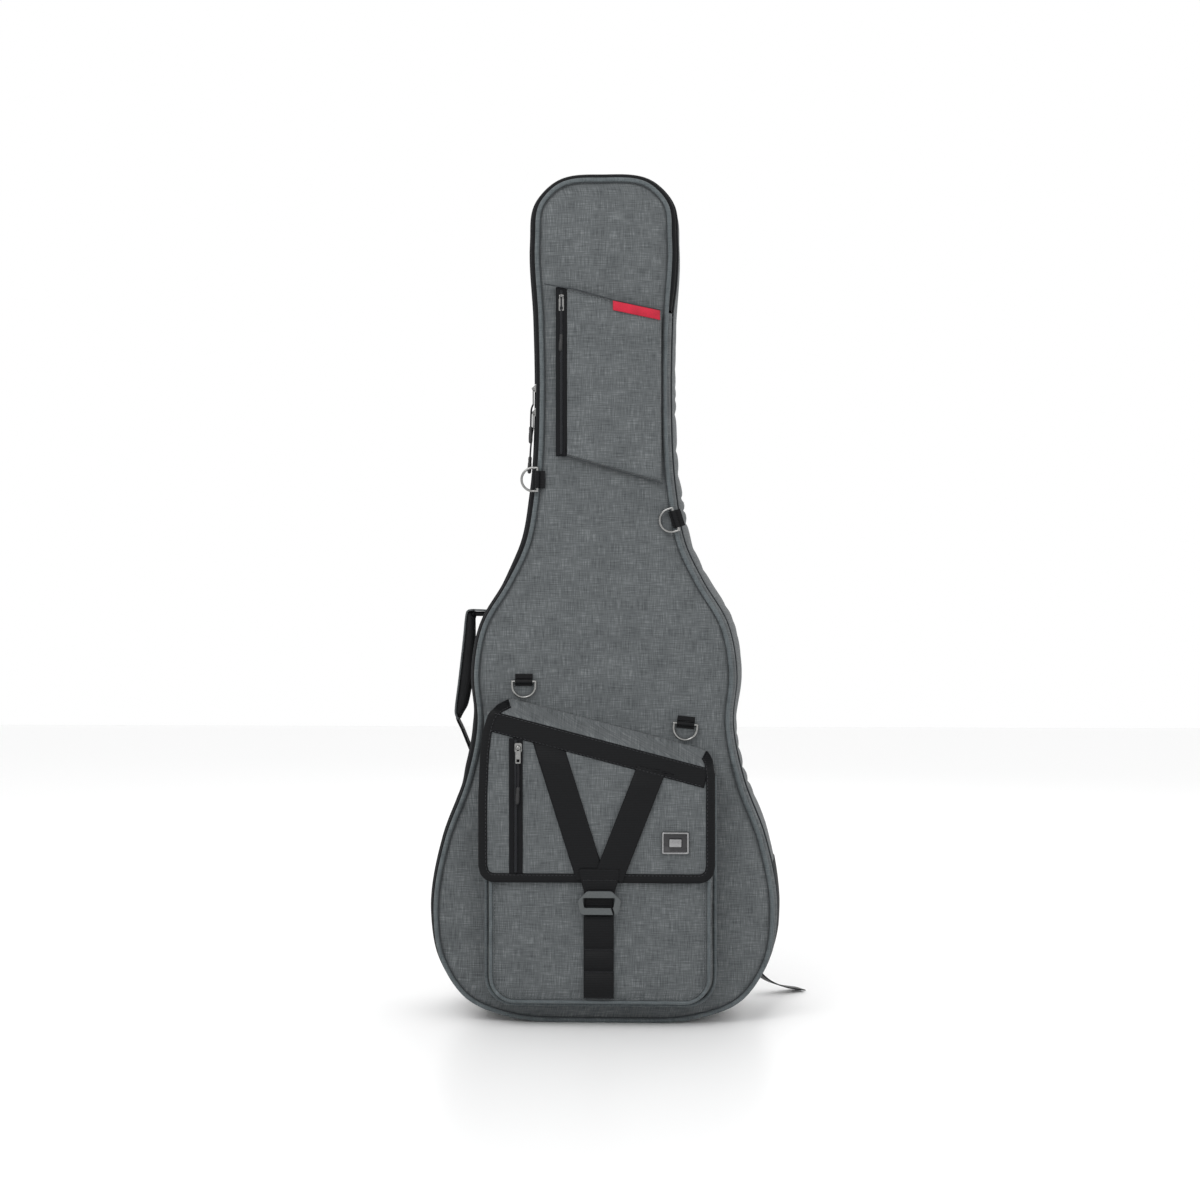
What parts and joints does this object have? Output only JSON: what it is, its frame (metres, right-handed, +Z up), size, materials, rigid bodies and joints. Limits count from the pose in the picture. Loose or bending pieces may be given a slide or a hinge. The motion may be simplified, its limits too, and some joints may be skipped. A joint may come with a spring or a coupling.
{
  "type": "padded gig bag",
  "caption": "Padded acoustic guitar gig bag with hinged front lid, zippers with cord pulls, accessory pocket with hooked flap, D-rings, side handle and backpack straps.",
  "frame": {"origin": "middle of the base's flat underside", "axes": "+Z up, -Y out of the front, +X to the right seen from the front"},
  "size_m": [0.5088, 0.305, 1.1201],
  "materials": {
    "grey_fabric": "heathered mid-grey woven polyester",
    "black_fabric": "black polyester",
    "black_webbing": "woven nylon webbing",
    "zip_tape": "zipper tape and coil",
    "foam": "closed-cell padding",
    "lining": "plush lining",
    "label": "red woven label, blank",
    "nickel": "polished nickel",
    "gunmetal": "dark grey satin coating",
    "black_plastic": "moulded",
    "cord": "braided cord",
    "rubber_grip": "moulded grip"
  },
  "bodies": {
    "bag_body": {"side_gusset": "grey_fabric", "zipper_tape_body": "zip_tape", "base_cover": "black_fabric", "gusset_foam": "foam", "back_foam": "foam", "back_panel": "black_fabric", "back_piping": "black_fabric", "body_lining": "lining", "interior_pads": "foam", "back_pads": "black_fabric", "strap_anchors": "black_webbing", "ladder_locks": "black_plastic", "handle_anchors": "black_webbing", "hinge_strip": "grey_fabric", "strap_tail_left": "black_webbing", "strap_tail_right": "black_webbing", "rear_handle": "black_webbing"},
    "front_lid": {"front_piping": "grey_fabric", "front_panel": "grey_fabric", "front_foam": "foam", "front_lining": "lining", "zipper_tape_lid": "zip_tape", "neck_pocket": "grey_fabric", "neck_zip_tape": "zip_tape", "side_label": "label", "pocket_front": "grey_fabric", "pocket_gusset": "grey_fabric", "pocket_piping": "grey_fabric", "daisy_chain": "black_webbing", "d_ring_tabs": "black_webbing"},
    "pocket_flap": {"flap_panel": "grey_fabric", "flap_binding": "black_webbing", "flap_band": "black_webbing", "flap_zip_tape": "zip_tape", "v_straps": "black_webbing", "badge": "gunmetal"},
    "hook": {"hook_buckle": "gunmetal"},
    "side_handle": {"side_handle": "black_fabric"},
    "upper_main_slider": {"upper_main_slider": "nickel"},
    "upper_main_pull": {"upper_main_pull": "nickel", "upper_main_cord": "cord", "upper_main_grip": "rubber_grip"},
    "lower_main_slider": {"lower_main_slider": "nickel"},
    "lower_main_pull": {"lower_main_pull": "nickel", "lower_main_cord": "cord", "lower_main_grip": "rubber_grip"},
    "neck_pocket_slider": {"neck_pocket_slider": "nickel"},
    "neck_pocket_pull": {"neck_pocket_pull": "nickel", "neck_pocket_cord": "cord"},
    "flap_pocket_slider": {"flap_pocket_slider": "nickel"},
    "flap_pocket_pull": {"flap_pocket_pull": "nickel", "flap_pocket_cord": "cord"},
    "d_ring_upper_left": {"d_ring_upper_left": "nickel"},
    "d_ring_upper_right": {"d_ring_upper_right": "nickel"},
    "d_ring_lower_left": {"d_ring_lower_left": "nickel"},
    "d_ring_lower_right": {"d_ring_lower_right": "nickel"},
    "shoulder_strap_left": {"shoulder_pad_left": "black_fabric"},
    "lower_webbing_left": {"lower_webbing_left": "black_webbing"},
    "shoulder_strap_right": {"shoulder_pad_right": "black_fabric"},
    "lower_webbing_right": {"lower_webbing_right": "black_webbing"}
  },
  "joints": [
    {"name": "lid_hinge", "type": "hinge", "parent": "bag_body", "child": "front_lid", "pos_m": [0.229, -0.0609, 0.145], "axis": [-0.1465, 0, 0.9892], "range_deg": [0, 105], "deforming": ["hinge_strip"]},
    {"name": "flap_hinge", "type": "hinge", "parent": "front_lid", "child": "pocket_flap", "pos_m": [0.00339, -0.0852, 0.39308], "axis": [-0.9673, 0, 0.2538], "range_deg": [0, 84]},
    {"name": "hook_swing", "type": "hinge", "parent": "pocket_flap", "child": "hook", "pos_m": [-0.0033, -0.1266, 0.1758], "axis": [-1, 0, 0], "range_deg": [0, 100]},
    {"name": "side_handle_swing", "type": "hinge", "parent": "bag_body", "child": "side_handle", "pos_m": [-0.181, 0, 0.45], "axis": [0, 0, 1], "range_deg": [-20, 20]},
    {"name": "upper_main_slide", "type": "slide", "parent": "bag_body", "child": "upper_main_slider", "axis": [-0.0302, 0, 0.9995], "range_m": [0, 0.15]},
    {"name": "upper_main_pull_swing", "type": "hinge", "parent": "upper_main_slider", "child": "upper_main_pull", "pos_m": [-0.0945, -0.0609, 0.8395], "axis": [0, 1, 0], "range_deg": [0, 160]},
    {"name": "lower_main_slide", "type": "slide", "parent": "bag_body", "child": "lower_main_slider", "axis": [-0.065, 0, -0.9979], "range_m": [0, 0.06]},
    {"name": "lower_main_pull_swing", "type": "hinge", "parent": "lower_main_slider", "child": "lower_main_pull", "pos_m": [-0.0946, -0.0609, 0.8075], "axis": [0, 1, 0], "range_deg": [0, 75]},
    {"name": "neck_pocket_slide", "type": "slide", "parent": "front_lid", "child": "neck_pocket_slider", "axis": [0, 0, -1], "range_m": [0, 0.195]},
    {"name": "neck_pocket_pull_swing", "type": "hinge", "parent": "neck_pocket_slider", "child": "neck_pocket_pull", "pos_m": [-0.055, -0.0919, 0.9585], "axis": [-1, 0, 0], "range_deg": [0, 160]},
    {"name": "flap_pocket_slide", "type": "slide", "parent": "pocket_flap", "child": "flap_pocket_slider", "axis": [0, 0, -1], "range_m": [0, 0.15]},
    {"name": "flap_pocket_pull_swing", "type": "hinge", "parent": "flap_pocket_slider", "child": "flap_pocket_pull", "pos_m": [-0.109, -0.1293, 0.3655], "axis": [-1, 0, 0], "range_deg": [0, 150]},
    {"name": "d_ring_upper_left_swing", "type": "hinge", "parent": "front_lid", "child": "d_ring_upper_left", "pos_m": [-0.087, -0.0874, 0.717], "axis": [0, 0, 1], "range_deg": [-20, 160]},
    {"name": "d_ring_upper_right_swing", "type": "hinge", "parent": "front_lid", "child": "d_ring_upper_right", "pos_m": [0.095, -0.0874, 0.6645], "axis": [-0.3007, 0, 0.9537], "range_deg": [0, 160]},
    {"name": "d_ring_lower_left_swing", "type": "hinge", "parent": "front_lid", "child": "d_ring_lower_left", "pos_m": [-0.105, -0.0874, 0.4505], "axis": [-1, 0, 0], "range_deg": [0, 160]},
    {"name": "d_ring_lower_right_swing", "type": "hinge", "parent": "front_lid", "child": "d_ring_lower_right", "pos_m": [0.1085, -0.0874, 0.395], "axis": [-0.9945, 0, 0.1045], "range_deg": [0, 160]},
    {"name": "shoulder_strap_left_hinge", "type": "hinge", "parent": "bag_body", "child": "shoulder_strap_left", "pos_m": [-0.052, 0.096, 0.662], "axis": [1, 0, 0], "range_deg": [0, 12]},
    {"name": "lower_webbing_left_hinge", "type": "hinge", "parent": "bag_body", "child": "lower_webbing_left", "pos_m": [-0.178, 0.096, 0.112], "axis": [-1, 0, 0], "range_deg": [0, 27.2]},
    {"name": "shoulder_strap_right_hinge", "type": "hinge", "parent": "bag_body", "child": "shoulder_strap_right", "pos_m": [0.052, 0.096, 0.662], "axis": [1, 0, 0], "range_deg": [0, 12]},
    {"name": "lower_webbing_right_hinge", "type": "hinge", "parent": "bag_body", "child": "lower_webbing_right", "pos_m": [0.178, 0.096, 0.112], "axis": [-1, 0, 0], "range_deg": [0, 27.2]}
  ],
  "couplings": [
    {"joint": "lower_webbing_left_hinge", "follows": "shoulder_strap_left_hinge", "ratio": 2.26},
    {"joint": "lower_webbing_right_hinge", "follows": "shoulder_strap_right_hinge", "ratio": 2.26}
  ]
}
